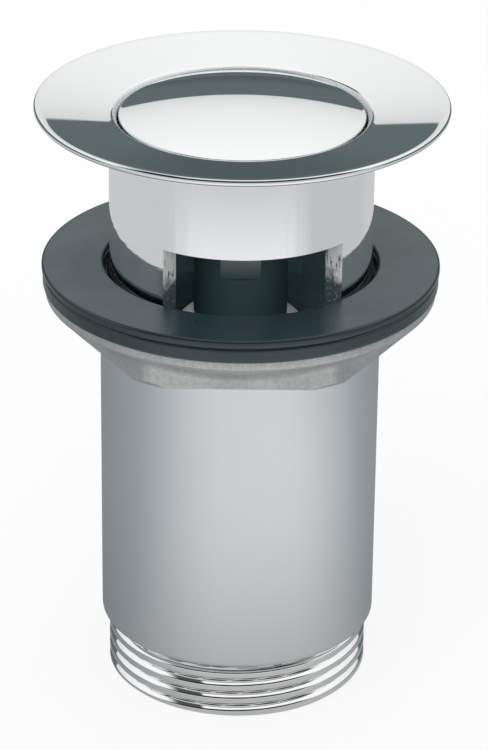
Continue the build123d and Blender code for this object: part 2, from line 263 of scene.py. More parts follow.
def groupNode(tree, group, vector, **values):
    node = tree.nodes.new("ShaderNodeGroup")
    node.node_tree = group
    link(tree, vector, node.inputs["Vector"])
    for label, value in values.items():
        node.inputs[label].default_value = value
    return node


def newFinish(name, **values):  # a Principled material, its tree, shader and object coordinates
    material = bpy.data.materials.new(name)
    material.use_nodes = True
    tree = material.node_tree
    shader = tree.nodes["Principled BSDF"]
    for label, value in values.items():
        socket = shader.inputs[label.replace("_", " ")]
        socket.default_value = (*value, 1.0) if isinstance(value, tuple) else value
    place = tree.nodes.new("ShaderNodeTexCoord").outputs["Object"]
    return material, tree, shader, place


def bumpInto(tree, shader, height, distance, strength=1.0):
    node = tree.nodes.new("ShaderNodeBump")
    node.inputs["Distance"].default_value = distance
    node.inputs["Strength"].default_value = strength
    link(tree, height, node.inputs["Height"])
    link(tree, node.outputs["Normal"], shader.inputs["Normal"])


# Roughness goes from clean to handled, and marks is the depth of the turning marks.
# Where streaked gives two heights, they are at their deepest between them.
def chromeFinish(name, colour, clean, handled, marks, streaked=None):
    material, tree, shader, place = newFinish(name, Metallic=1.0, Base_Color=colour)
    smudges = groupNode(tree, handling, place, Scale=70.0, Clean=clean, Handled=handled)
    link(tree, smudges.outputs["Roughness"], shader.inputs["Roughness"])
    height = groupNode(tree, turningMarks, place, Density=2600.0).outputs["Height"]
    if streaked:
        low, high = streaked
        rise = partAbove(tree, place, "Z", low - 0.5 * mm, low + 0.5 * mm)
        fall = partAbove(tree, place, "Z", high + mm, high - mm)
        depth = mapRange(tree, mathNode(tree, "MULTIPLY", rise, fall), 0, 1, 0.12, 1)
        height = mathNode(tree, "MULTIPLY", height, depth)
    bumpInto(tree, shader, height, marks)
    return material


def partAbove(tree, place, axis, low, high):  # mask that rises from 0 to 1 along one axis of the piece
    split = tree.nodes.new("ShaderNodeSeparateXYZ")
    link(tree, place, split.inputs[0])
    return mapRange(tree, split.outputs[axis], low, high, 0.0, 1.0, smooth=True)


def distanceFromAxis(tree, place):
    flat = tree.nodes.new("ShaderNodeVectorMath")
    flat.operation = "MULTIPLY"
    flat.inputs[1].default_value = (1, 1, 0)
    link(tree, place, flat.inputs[0])
    length = tree.nodes.new("ShaderNodeVectorMath")
    length.operation = "LENGTH"
    link(tree, flat.outputs[0], length.inputs[0])
    return length.outputs["Value"]


def stretched(tree, place, x, y, z):
    node = tree.nodes.new("ShaderNodeVectorMath")
    node.operation = "MULTIPLY"
    node.inputs[1].default_value = (x, y, z)
    link(tree, place, node.inputs[0])
    return node.outputs[0]


# Milled sides of the overflow windows: pale with dark scratches above, and painted shade low down (a
# dark tone with pale specks)
def roughCutFinish():
    material, tree, shader, place = newFinish("roughCut", Metallic=0.0)
    scratchField = noiseNode(tree, stretched(tree, place, 1, 1, 0.22), 1500.0, 4.0, 0.6)
    scratches = mapRange(tree, scratchField, 0.56, 0.62, 0.0, 1.0, smooth=True)
    specks = mapRange(tree, noiseNode(tree, place, 2600.0, 3.0, 0.6), 0.60, 0.67, 0.0, 1.0, smooth=True)
    wander = mathNode(tree, "MULTIPLY", noiseNode(tree, place, 420.0, 2.0, 0.5), 5 * mm)
    split = tree.nodes.new("ShaderNodeSeparateXYZ")
    link(tree, place, split.inputs[0])
    height = mathNode(tree, "ADD", split.outputs["Z"], wander)
    # painted shade: below a wandering height near 75 to 77 mm the sides take the dark tone
    upper = mapRange(tree, height, 75.2 * mm, 77.2 * mm, 0.0, 1.0, smooth=True)
    pale = mixColour(tree, scratches, (1.0, 1.0, 1.0), (0.16, 0.18, 0.19))
    paintedShadeLow = mixColour(tree, specks, (0.085, 0.125, 0.13), (0.45, 0.50, 0.51))
    link(tree, mixColour(tree, upper, paintedShadeLow, pale), shader.inputs["Base Color"])
    link(tree, mapRange(tree, scratches, 0, 1, 0.24, 0.5), shader.inputs["Roughness"])
    bumpInto(tree, shader, scratchField, 0.06 * mm)
    return material


def boreFinish():  # metal inside the tube with painted shade: near black low down, a painted teal shade behind the windows, both with random stains
    material, tree, shader, place = newFinish("paintedShadeBore", Metallic=0.15, Roughness=0.5)
    stains = mapRange(tree, noiseNode(tree, place, 260.0, 4.0, 0.6), 0.4, 0.65, 0.0, 1.0, smooth=True)
    lower = mixColour(tree, stains, (0.060, 0.062, 0.060), (0.11, 0.105, 0.095))
    upper = mixColour(tree, stains, (0.30, 0.48, 0.51), (0.37, 0.56, 0.59))
    bluish = partAbove(tree, place, "Z", 50 * mm, 55 * mm)
    link(tree, mixColour(tree, bluish, lower, upper), shader.inputs["Base Color"])
    rings = groupNode(tree, turningMarks, place, Density=4200.0)
    bumpInto(tree, shader, rings.outputs["Height"], 0.02 * mm)
    return material


def satinFinish():  # satin of the cover sleeve
    grey = (0.765, 0.785, 0.80)
    material, tree, shader, place = newFinish("satinSleeve", Metallic=1.0, Base_Color=grey)
    smudges = groupNode(tree, handling, place, Scale=45.0, Clean=0.34, Handled=0.37)
    link(tree, smudges.outputs["Roughness"], shader.inputs["Roughness"])
    grains = groupNode(tree, grain, place, Fine=6000.0, Coarse=1500.0)
    bumpInto(tree, shader, grains.outputs["Height"], 0.005 * mm)
    return material


def castFinish():  # cast back nut: dull grey with a fine grain and slightly darker hollows
    material, tree, shader, place = newFinish("castNut", Metallic=0.85)
    grains = groupNode(tree, grain, place, Fine=5200.0, Coarse=1400.0)
    cloudy = mapRange(tree, noiseNode(tree, place, 150.0, 3.0, 0.5), 0.35, 0.7, 0.0, 1.0, smooth=True)
    grey = mixColour(tree, cloudy, (0.60, 0.61, 0.61), (0.53, 0.54, 0.545))
    hollow = mathNode(tree, "MULTIPLY", grains.outputs["Hollows"], 0.35)
    link(tree, mixColour(tree, hollow, grey, (0.30, 0.31, 0.31)), shader.inputs["Base Color"])
    link(tree, mapRange(tree, grains.outputs["Hollows"], 0, 1, 0.42, 0.52), shader.inputs["Roughness"])
    bumpInto(tree, shader, grains.outputs["Height"], 0.022 * mm)
    return material


def rubberFinish(name, colour, rough, edge=1.0):  # past the radius edge the colour is darker: painted shade on the ring's rounded outer edge and side
    material, tree, shader, place = newFinish(name, Specular_IOR_Level=0.85)
    grains = groupNode(tree, grain, place, Fine=3500.0, Coarse=260.0)
    paler = tuple(c * 1.35 for c in colour)
    darker = tuple(c * 0.3 for c in colour)
    outside = mapRange(tree, distanceFromAxis(tree, place), edge, edge + 0.4 * mm, 0.0, 1.0)
    face = mixColour(tree, grains.outputs["Hollows"], paler, colour)
    link(tree, mixColour(tree, outside, face, darker), shader.inputs["Base Color"])
    smudges = groupNode(tree, handling, place, Scale=60.0, Clean=rough, Handled=rough + 0.08)
    link(tree, smudges.outputs["Roughness"], shader.inputs["Roughness"])
    bumpInto(tree, shader, grains.outputs["Height"], 0.008 * mm)
    shader.inputs["Specular Tint"].default_value = (0.80, 1.0, 1.03, 1.0)
    return material


def plasticFinish(name, colour, rough):
    material, tree, shader, place = newFinish(name, Base_Color=colour)
    smudges = groupNode(tree, handling, place, Scale=140.0, Clean=rough, Handled=rough + 0.12)
    link(tree, smudges.outputs["Roughness"], shader.inputs["Roughness"])
    grains = groupNode(tree, grain, place, Fine=5000.0, Coarse=900.0)
    bumpInto(tree, shader, grains.outputs["Height"], 0.008 * mm)
    return material


def housingFinish():  # dark teal moulding, with a painted pool of light on its front flats near the top, fading downwards
    material, tree, shader, place = newFinish("housingPlastic")
    flats = partAbove(tree, stretched(tree, place, 1, -1, 1), "Y", 6.68 * mm, 6.73 * mm)
    high = partAbove(tree, place, "Z", 69.8 * mm, 76.0 * mm)
    # painted light: the pale patch on the front flats, strongest high up
    paintedLightPatch = mathNode(tree, "MULTIPLY", flats, high)
    scuffs = noiseNode(tree, stretched(tree, place, 1, 1, 0.3), 900.0, 3.0, 0.6)
    pale = mixColour(tree, scuffs, (0.44, 0.52, 0.53), (0.60, 0.67, 0.68))
    link(tree, mixColour(tree, paintedLightPatch, (0.085, 0.15, 0.16), pale), shader.inputs["Base Color"])
    link(tree, mapRange(tree, paintedLightPatch, 0, 1, 0.30, 0.42), shader.inputs["Roughness"])
    bumpInto(tree, shader, scuffs, 0.006 * mm)
    return material


def bridgeFinish():  # bright hub, tarnished ring and spokes
    material, tree, shader, place = newFinish("bridgeNickel")
    outside = mapRange(tree, distanceFromAxis(tree, place), 9.6 * mm, 10.4 * mm, 0.0, 1.0, smooth=True)
    smudges = groupNode(tree, handling, place, Scale=240.0, Clean=0.32, Handled=0.46)
    bright = mixColour(tree, smudges.outputs["Mask"], (0.72, 0.73, 0.73), (0.55, 0.56, 0.56))
    link(tree, mixColour(tree, outside, bright, (0.20, 0.32, 0.34)), shader.inputs["Base Color"])
    link(tree, mapRange(tree, outside, 0.0, 1.0, 0.9, 0.1), shader.inputs["Metallic"])
    link(tree, smudges.outputs["Roughness"], shader.inputs["Roughness"])
    rings = groupNode(tree, turningMarks, place, Density=5200.0)
    bumpInto(tree, shader, rings.outputs["Height"], 0.008 * mm)
    return material


def turnedFinish(name, colour, clean, handled, marks):
    material, tree, shader, place = newFinish(name, Metallic=1.0)
    smudges = groupNode(tree, handling, place, Scale=160.0, Clean=clean, Handled=handled)
    darker = tuple(c * 0.72 for c in colour)
    link(tree, mixColour(tree, smudges.outputs["Mask"], colour, darker), shader.inputs["Base Color"])
    link(tree, smudges.outputs["Roughness"], shader.inputs["Roughness"])
    rings = groupNode(tree, turningMarks, place, Density=6500.0)
    bumpInto(tree, shader, rings.outputs["Height"], marks)
    return material


silver = (0.95, 0.96, 0.965)
streaked = (70.0 * mm, 80.2 * mm)
chrome = chromeFinish("chrome", (0.945, 0.955, 0.96), 0.035, 0.06, marks=0.005 * mm, streaked=streaked)
polished = chromeFinish("chromePolished", silver, 0.02, 0.035, marks=0.0001 * mm)
brushedLip = chromeFinish("brushedLip", silver, 0.50, 0.58, marks=0.0005 * mm)
# near-black painted shade on the thread's run-out shoulder, down in the gap under the rings
paintedShadeShoulder = plasticFinish("paintedShadeRunout", (0.006, 0.010, 0.010), rough=0.55)
roughCut = roughCutFinish()
# painted shade for the inside of the tube and the nut's bore
paintedBoreShade = boreFinish()
satin = satinFinish()
castGrey = castFinish()
# the rings' painted shade on their outer edge starts at this radius
washerRubber = rubberFinish("washerRubber", (0.024, 0.043, 0.049), rough=0.26, edge=30.7 * mm)
sealRubber = rubberFinish("sealRubber", (0.012, 0.012, 0.013), rough=0.42)
darkPlastic = plasticFinish("darkPlastic", (0.016, 0.022, 0.024), rough=0.30)
palePlastic = plasticFinish("palePlastic", (0.72, 0.71, 0.67), rough=0.38)
housingPlastic = housingFinish()
brass = turnedFinish("turnedBrass", (0.78, 0.57, 0.27), 0.16, 0.32, marks=0.006 * mm)
springSteel = turnedFinish("springSteel", (0.62, 0.61, 0.59), 0.22, 0.36, marks=0.002 * mm)
bridgeNickel = bridgeFinish()
fibre = plasticFinish("redFibre", (0.16, 0.045, 0.028), rough=0.55)
print("finishes made")


# Body: funnel flange, throat, slotted tube with both threads
bodySizes = {
    "windowSteps": 56,
    "wallSteps": 64,
    "halfWindow": 41.8,  # degrees each side of a window's middle
    "windowTurn": 7.0,  # degrees that the windows stand to the right of the front
    "windowBottom": 61.95 * mm,
    "windowTop": 79.65 * mm,
    "rimRoll": 9.0 * mm,
    "rimLean": 2.0,  # degrees that the roll still falls inwards where it meets the corner
    "cornerRound": 0.1 * mm,
    "cornerTurn": 50.0,
    "edgeRound": 0.6 * mm,
    "underTurn": 60.0,
    "flangeThickness": 1.35 * mm,
    "flangeLand": 2.0 * mm,
    "funnelDepth": 1.67 * mm,
    "throatRadius": 19.4 * mm,
    "throatLip": 1.2 * mm,
    "seatHeight": 92.1 * mm,
    "tubeRadius": 20.6 * mm,
    "neckRound": 1.4 * mm,
    "neckSteps": 8,
    "edgeSteps": 18,
    "cornerSteps": 6,
    "rollSteps": 20,
    "lipSteps": 16,
    "reliefSteps": 8,
    "boreRadius": 17.3 * mm,
    "ledgeHeight": 51.45 * mm,
    "tailBoreRadius": 16.4 * mm,
    "tailBoreChamfer": 0.5 * mm,
    "threadRadius": 20.955 * mm,
    "tailChamfer": 0.35 * mm,
    "tailThreadTop": 9.45 * mm,
    "nutThreadBottom": 46.45 * mm,
    "nutThreadTop": 69.95 * mm,
    "reliefRadius": 19.4 * mm,
    "pitch": 2.309 * mm,
    "crestPhase": 0.50,  # turns by which the crests are moved along
    "crestFlat": 0.92 * mm,
    "grooveSlope": 40.0,  # degrees between a groove's sides and a plane across the axis
    "grooveFloor": 0.10 * mm,
    "crestRound": 0.06 * mm,  # softness of a crest's edges
    "runout": 0.3 * mm,  # the tail's thread fades from three of these below its top to one above it
    "tailRow": 0.081 * mm,
    "nutRow": 0.17 * mm,
    "wallRow": 0.45 * mm,
    "cutSteps": 7,
    "cutRoughness": 0.07 * mm,
    "cutScale": 900,
}


def threadDepth(phase, size):  # how far the groove lies under the crests, for a place counted in turns
    along = abs(phase - round(phase)) * size["pitch"] - size["crestFlat"] / 2
    deepest = size["pitch"] / 2 - size["crestFlat"] / 2 - size["grooveFloor"] / 2
    rise = math.tan(math.radians(90 - size["grooveSlope"]))
    soft = size["crestRound"]
    eased = (along + math.sqrt(along**2 + soft**2)) / 2
    return min(eased, deepest) * rise


def cutThread(bm, size):
    major, pitch = size["threadRadius"], size["pitch"]
    top, shoulder = size["nutThreadTop"], size["nutThreadTop"] + major - size["tubeRadius"]
    drop = major - size["reliefRadius"]
    inner = size["boreRadius"] + mm
    for vert in bm.verts:
        radius, z = math.hypot(vert.co.x, vert.co.y), vert.co.z
        onTail = z < size["tailThreadTop"] + drop
        onNutThread = size["nutThreadBottom"] - drop < z < shoulder
        if radius < inner or not (onTail or onNutThread):
            continue
        turns = math.atan2(vert.co.y, vert.co.x) / turn
        crest = major - threadDepth(z / pitch - turns + size["crestPhase"], size)
        if onTail:
            limit = min(major - size["tailChamfer"] + z, major - (z - size["tailThreadTop"]))
            fadeEnd = size["tailThreadTop"] + size["runout"]
            fade = max(0.0, min(1.0, (fadeEnd - z) / (4 * size["runout"])))
            crest = major - (major - crest) * fade
        else:
            limit = min(major - (size["nutThreadBottom"] - z), major)
            fade = max(0.0, min(1.0, (shoulder - z) / pitch))
            crest = major - (major - crest) * fade
            if z > top:
                limit = major - (z - top)
        newRadius = max(size["reliefRadius"], min(crest, limit))
        vert.co.x *= newRadius / radius
        vert.co.y *= newRadius / radius


def bodyPiece(size):
    low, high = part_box("body")
    flange, top = high.x, high.z
    lipHeight = top - size["funnelDepth"]
    under = lipHeight - size["flangeThickness"]
    lip = size["throatRadius"] + size["throatLip"]
    seatBottom = size["seatHeight"] - (size["throatRadius"] - size["boreRadius"])
    major, relief = size["threadRadius"], size["reliefRadius"]
    tube, bore = size["tubeRadius"], size["boreRadius"]
    drop = major - relief
    shoulder = size["nutThreadTop"] + major - tube
    tail = size["tailThreadTop"]
    roll, corner, edge, lipRound = (
        size[key] for key in ("rimRoll", "cornerRound", "edgeRound", "throatLip")
    )
    cornerTurn, lean, underTurn = (
        math.radians(size[key]) for key in ("cornerTurn", "rimLean", "underTurn")
    )
    cornerMiddle = (flange - edge + (edge - corner) * math.cos(cornerTurn), top - corner)
    edgeMiddle = (flange - edge, cornerMiddle[1] - (edge - corner) * math.sin(cornerTurn))
    rollMiddle = (
        cornerMiddle[0] + (roll - corner) * math.sin(lean),
        cornerMiddle[1] - (roll - corner) * math.cos(lean),
    )
    lipMiddle = (lip, lipHeight - lipRound)
    across, rise = rollMiddle[0] - lipMiddle[0], rollMiddle[1] - lipMiddle[1]
    between = math.hypot(across, rise)
    slope = math.degrees(math.atan2(rise, across) + math.asin((roll - lipRound) / between))

    # the wall inside the window's height has the same rows outside and inside
    wallRows = rowsBetween(size["windowBottom"], size["nutThreadTop"], size["nutRow"])
    upperRows = rowsBetween(shoulder, size["windowTop"], size["wallRow"])
    outerWall = [(major, z) for z in wallRows] + [(tube, z) for z in upperRows]
    innerWall = [(bore, z) for r, z in outerWall]

    # from the window's top outside, round the flange to the window's top inside
    neck = size["neckRound"]
    upper = [(tube, under - neck - holdBack)]
    upper += arcRound((tube + neck, under - neck), neck, 180, 90, size["neckSteps"])
    rimBottom = edgeMiddle[1] - edge * math.sin(underTurn)
    landEdge = flange - edge * (1 - math.cos(underTurn))
    upper += [(landEdge - size["flangeLand"], rimBottom)]
    upper += arcRound(edgeMiddle, edge, -size["underTurn"], size["cornerTurn"], size["edgeSteps"])
    rollStart, rows = 90 + size["rimLean"], size["rollSteps"]
    upper += arcRound(cornerMiddle, corner, size["cornerTurn"], rollStart, size["cornerSteps"])[1:]
    rolled = arcRound(rollMiddle, roll, rollStart, 90 + slope, rows)[1:]
    lipArc = arcRound(lipMiddle, lipRound, 90 + slope, 180, size["lipSteps"])
    upper += rolled + [mixPoint(rolled[-1], lipArc[0], i / rows) for i in range(1, rows)] + lipArc
    upper += [(size["throatRadius"], size["seatHeight"]), (bore, seatBottom)]
    upper = heldOutline(upper)

    lower = [(bore, size["ledgeHeight"]), (size["tailBoreRadius"], size["ledgeHeight"])]
    lower += [(size["tailBoreRadius"], size["tailBoreChamfer"])]
    lower += [(size["tailBoreRadius"] + size["tailBoreChamfer"], low.z)]
    lower += [(major - size["tailChamfer"], low.z)]
    lower += [(major, z) for z in rowsBetween(size["tailChamfer"], tail, size["tailRow"])]
    steps = size["reliefSteps"]
    lower += [(major - drop * i / steps, tail + drop * i / steps) for i in range(1, steps + 1)]
    nutThread = size["nutThreadBottom"]
    lower += [(relief + drop * i / steps, nutThread - drop + drop * i / steps) for i in range(steps)]
    lower += [(major, z) for z in rowsBetween(nutThread, size["windowBottom"], size["nutRow"])[:-1]]

    bm = bmesh.new()
    half = size["halfWindow"]
    starts = (-90 + size["windowTurn"], 90 + size["windowTurn"])
    aboveWindow = [outerWall[-1]] + upper + [innerWall[-1]]
    underWindow = [innerWall[0]] + lower + [outerWall[0]]
    whole = outerWall + upper + innerWall[::-1] + lower
    for start in starts:
        spinOutline(bm, aboveWindow, start - half, 2 * half, size["windowSteps"])
        spinOutline(bm, underWindow, start - half, 2 * half, size["windowSteps"])
        spinOutline(bm, whole, start + half, 180 - 2 * half, size["wallSteps"])
    bmesh.ops.remove_doubles(bm, verts=bm.verts, dist=mergeWithin)

    # the sides of the windows, roughly milled
    cuts = []
    for start in starts:
        for angle in (start - half, start + half):
            ray = Vector((math.cos(math.radians(angle)), math.sin(math.radians(angle)), 0))
            edges = [
                e for e in bm.edges
                if len(e.link_faces) == 1
                and (e.verts[0].co.xy - ray.xy * e.verts[0].co.xy.length).length < close
                and abs(e.verts[0].co.xy.length - e.verts[1].co.xy.length) < mm
            ]
            cuts += bmesh.ops.bridge_loops(bm, edges=edges)["faces"]
    rungs = {
        e for f in cuts for e in f.edges
        if abs(e.verts[0].co.xy.length - e.verts[1].co.xy.length) > mm
    }
    cutVerts = {v for f in cuts for v in f.verts}
    for face in cuts:
        face.material_index = 1
    made = bmesh.ops.subdivide_edges(bm, edges=list(rungs), cuts=size["cutSteps"], use_grid_fill=True)
    cutVerts |= {v for v in made["geom_inner"] if isinstance(v, bmesh.types.BMVert)}
    bmesh.ops.recalc_face_normals(bm, faces=bm.faces)
    cutThread(bm, size)
    for vert in cutVerts:
        if not vert.is_valid:
            continue
        around = Vector((-vert.co.y, vert.co.x, 0)).normalized()
        shift = noise.fractal(vert.co * size["cutScale"], 0.6, 2.2, 3) * size["cutRoughness"]
        vert.co += around * shift
    for face in bm.faces:
        middle = face.calc_center_median()
        # the run-out shoulder gets the painted shade
        onRunout = size["nutThreadTop"] - 0.1 * mm < middle.z < shoulder and middle.xy.length > tube
        if onRunout:
            face.material_index = 5
        elif face.material_index == 0 and middle.xy.length < bore + 0.2 * mm:
            face.material_index = 2
        elif middle.z > size["seatHeight"] and middle.xy.length < size["throatRadius"] + lipRound / 2:
            face.material_index = 4
        elif middle.z > under and middle.xy.length > size["throatRadius"]:
            face.material_index = 3
    finishes = [chrome, roughCut, paintedBoreShade, polished, brushedLip, paintedShadeShoulder]
    makePiece("body_chromed", bm, "waste", "body", finishes)


bodyPiece(bodySizes)


# Plug cap: pressed dome with a short skirt
capSizes = {
    "rise": 1.87 * mm,
    "wall": 0.8 * mm,
    "edgeRound": 0.15 * mm,
    "domeSteps": 40,
    "innerSteps": 16,
    "edgeSteps": 6,
    "steps": 256,
}


def capPiece(size):
    low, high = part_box("plug_cap")
    edge = high.z - size["rise"]
    shoulder = high.x - size["edgeRound"]
    inner, rounding = high.x - size["wall"], size["edgeRound"]
    outline = domeArc((shoulder, edge), size["rise"], size["domeSteps"])
    outline += arcRound((shoulder, edge - rounding), rounding, 90, 0, size["edgeSteps"])[1:]
    outline += [(high.x, low.z), (inner, low.z)]
    outline += domeArc((inner, edge - size["wall"]), size["rise"], size["innerSteps"])[::-1]
    bm = bmesh.new()
    spinOutline(bm, heldOutline(outline), steps=size["steps"], closed=False)
    tidyMesh(bm)
    makePiece("cap_dome", bm, "plug", "plug_cap", [polished])


capPiece(capSizes)


# Rubber rings under the basin
ringSizes = {
    "hole": 21.605 * mm,
    "edgeRound": 0.45 * mm,
    "edgeSteps": 5,
    "steps": 220,
    "waviness": 0.05 * mm,
    "waveScale": 70,
}


def ringPiece(name, node, size):
    low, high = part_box(node)
    rounding, hole = size["edgeRound"], size["hole"]
    outline = []
    corners = (
        (high.x - rounding, high.z - rounding, 90),
        (high.x - rounding, low.z + rounding, 0),
        (hole + rounding, low.z + rounding, -90),
        (hole + rounding, high.z - rounding, -180),
    )
    for r, z, start in corners:
        outline += arcRound((r, z), rounding, start, start - 90, size["edgeSteps"])
    bm = bmesh.new()
    spinOutline(bm, heldOutline(outline, closed=True), steps=size["steps"])
    tidyMesh(bm)
    middle = (high.x + hole) / 2
    for vert in bm.verts:
        radius = vert.co.xy.length
        pull = max(0.0, (radius - middle) / (high.x - middle))
        change = (noise.noise(vert.co * size["waveScale"]) - 0.5) * size["waviness"] * pull
        vert.co.x *= 1 + change / radius
        vert.co.y *= 1 + change / radius
    makePiece(name, bm, "rings", node, [washerRubber])


ringPiece("ring_upper", "upper_washer", ringSizes)
ringPiece("ring_lower", "lower_washer", ringSizes)


# Cast back nut: round flange, cone and a hexagon with rounded corners
nutSizes = {
    "flats": 50.0 * mm,
    "cornerRound": 2.5 * mm,
    "chamferWidth": 1.5 * mm,
    "chamferHeight": 1.4 * mm,
    "rim": 1.7 * mm,
    "rimRound": 0.6 * mm,
    "rimSteps": 6,
    "topRound": 0.2 * mm,
    "topSteps": 3,
    "coneHeight": 3.3 * mm,
    "bore": 21.02 * mm,
    "boreChamfer": 0.4 * mm,
    "row": 0.17 * mm,
    "steps": 288,
    "blend": 2.0 * mm,
    "unevenness": 0.05 * mm,
    "unevenScale": 160,
    "footInset": 1.4 * mm,  # from the hexagon's outline to the flat under it
}


def hexagonRadius(angle, flats, rounding):  # rounded corners and a flat in front
    side = math.radians(60)
    offset = abs((angle + turn / 4 + side / 2) % side - side / 2)
    half = flats / 2
    if offset < math.atan((half - rounding) * math.tan(side / 2) / half):
        return half / math.cos(offset)
    reach = (half - rounding) / math.cos(side / 2)
    away = side / 2 - offset
    return reach * math.cos(away) + math.sqrt(max(0.0, rounding**2 - (reach * math.sin(away)) ** 2))


def smoothLarger(first, second, blend):  # the larger of two sizes with a cast fillet between them
    share = max(0.0, blend - abs(first - second)) / blend
    return max(first, second) + share * share * blend / 4


def nutPiece(size):
    low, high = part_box("back_nut")
    rimBottom = high.z - size["rim"]
    coneBottom = rimBottom - size["coneHeight"]
    half, bore, chamfer = size["flats"] / 2, size["bore"], size["boreChamfer"]
    corner = half / math.cos(math.pi / 6)
    rimRound, topRound = size["rimRound"], size["topRound"]
    outline = [(bore, low.z + chamfer), (bore + chamfer, low.z), (half - mm, low.z)]
    outline += [(half, z) for z in rowsBetween(low.z, rimBottom, size["row"])]
    outline += arcRound((high.x - rimRound, rimBottom + rimRound), rimRound, -90, 0, size["rimSteps"])
    outline += arcRound((high.x - topRound, high.z - topRound), topRound, 0, 90, size["topSteps"])
    outline += [(bore + chamfer, high.z), (bore, high.z - chamfer)]
    bm = bmesh.new()
    spinOutline(bm, outline, steps=size["steps"])
    tidyMesh(bm)
    for vert in bm.verts:
        radius, z = vert.co.xy.length, vert.co.z
        angle = math.atan2(vert.co.y, vert.co.x)
        newRadius = radius
        if abs(radius - half) < close and z < rimBottom + close:
            envelope = corner - size["chamferWidth"] * max(0.0, 1 - (z - low.z) / size["chamferHeight"])
            hexagon = min(hexagonRadius(angle, size["flats"], size["cornerRound"]), envelope)
            cone = half + (high.x - rimRound - half) * (z - coneBottom) / size["coneHeight"]
            newRadius = smoothLarger(hexagon, cone, size["blend"])
            newRadius += (noise.noise(vert.co * size["unevenScale"]) - 0.2) * size["unevenness"]
        elif abs(radius - (half - mm)) < close:
            newRadius = hexagonRadius(angle, size["flats"], size["cornerRound"]) - size["footInset"]
        vert.co.x *= newRadius / radius
        vert.co.y *= newRadius / radius
    for face in bm.faces:
        if face.calc_center_median().xy.length < bore + chamfer:
            face.material_index = 1
    makePiece("nut_cast", bm, "nut", "back_nut", [castGrey, paintedBoreShade])


nutPiece(nutSizes)


# Cover sleeve: thin satin tube with a rounded lower edge
sleeveSizes = {
    "wall": 0.95 * mm,
    "edgeRound": 0.8 * mm,
    "edgeSteps": 8,
    "topRound": 0.25 * mm,
    "topSteps": 4,
    "row": 4 * mm,
    "steps": 240,
}


def sleevePiece(size):
    low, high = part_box("cover_sleeve")
    outer, inner = high.x, high.x - size["wall"]
    rounding, topRound = size["edgeRound"], size["topRound"]
    outline = [(inner, low.z)]
    outline += arcRound((outer - rounding, low.z + rounding), rounding, -90, 0, size["edgeSteps"])
    rows = rowsBetween(low.z + rounding, high.z - topRound, size["row"])
    outline += [(outer, z) for z in rows[1:-1]]
    outline += arcRound((outer - topRound, high.z - topRound), topRound, 0, 90, size["topSteps"])
    outline += [(inner, high.z)]
    bm = bmesh.new()
    spinOutline(bm, heldOutline(outline), steps=size["steps"])
    tidyMesh(bm)
    makePiece("sleeve_satin", bm, "cover", "cover_sleeve", [satin])


sleevePiece(sleeveSizes)


# The pieces inside keep their own meshes and get their finishes here
inside = {
    "bridge_insert": bridgeNickel,
    "cap_carrier": darkPlastic,
    "plug_seal": sealRubber,
    "cap_lock_nut": brass,
    "plunger": brass,
    "rotor": palePlastic,
    "cartridge_housing": housingPlastic,
    "guide_bush": brass,
    "bush_o_ring": sealRubber,
    "ratchet_sleeve": palePlastic,
    "return_spring": springSteel,
    "spring_seat": springSteel,
    "mounting_stud": brass,
    "stud_washer": fibre,
}
for name, material in inside.items():
    mesh = nodes[name].data
    mesh.materials.clear()
    mesh.materials.append(material)
    mesh.shade_smooth()
    mesh.set_sharp_from_angle(angle=math.radians(30))
print("inner pieces finished:", len(inside))


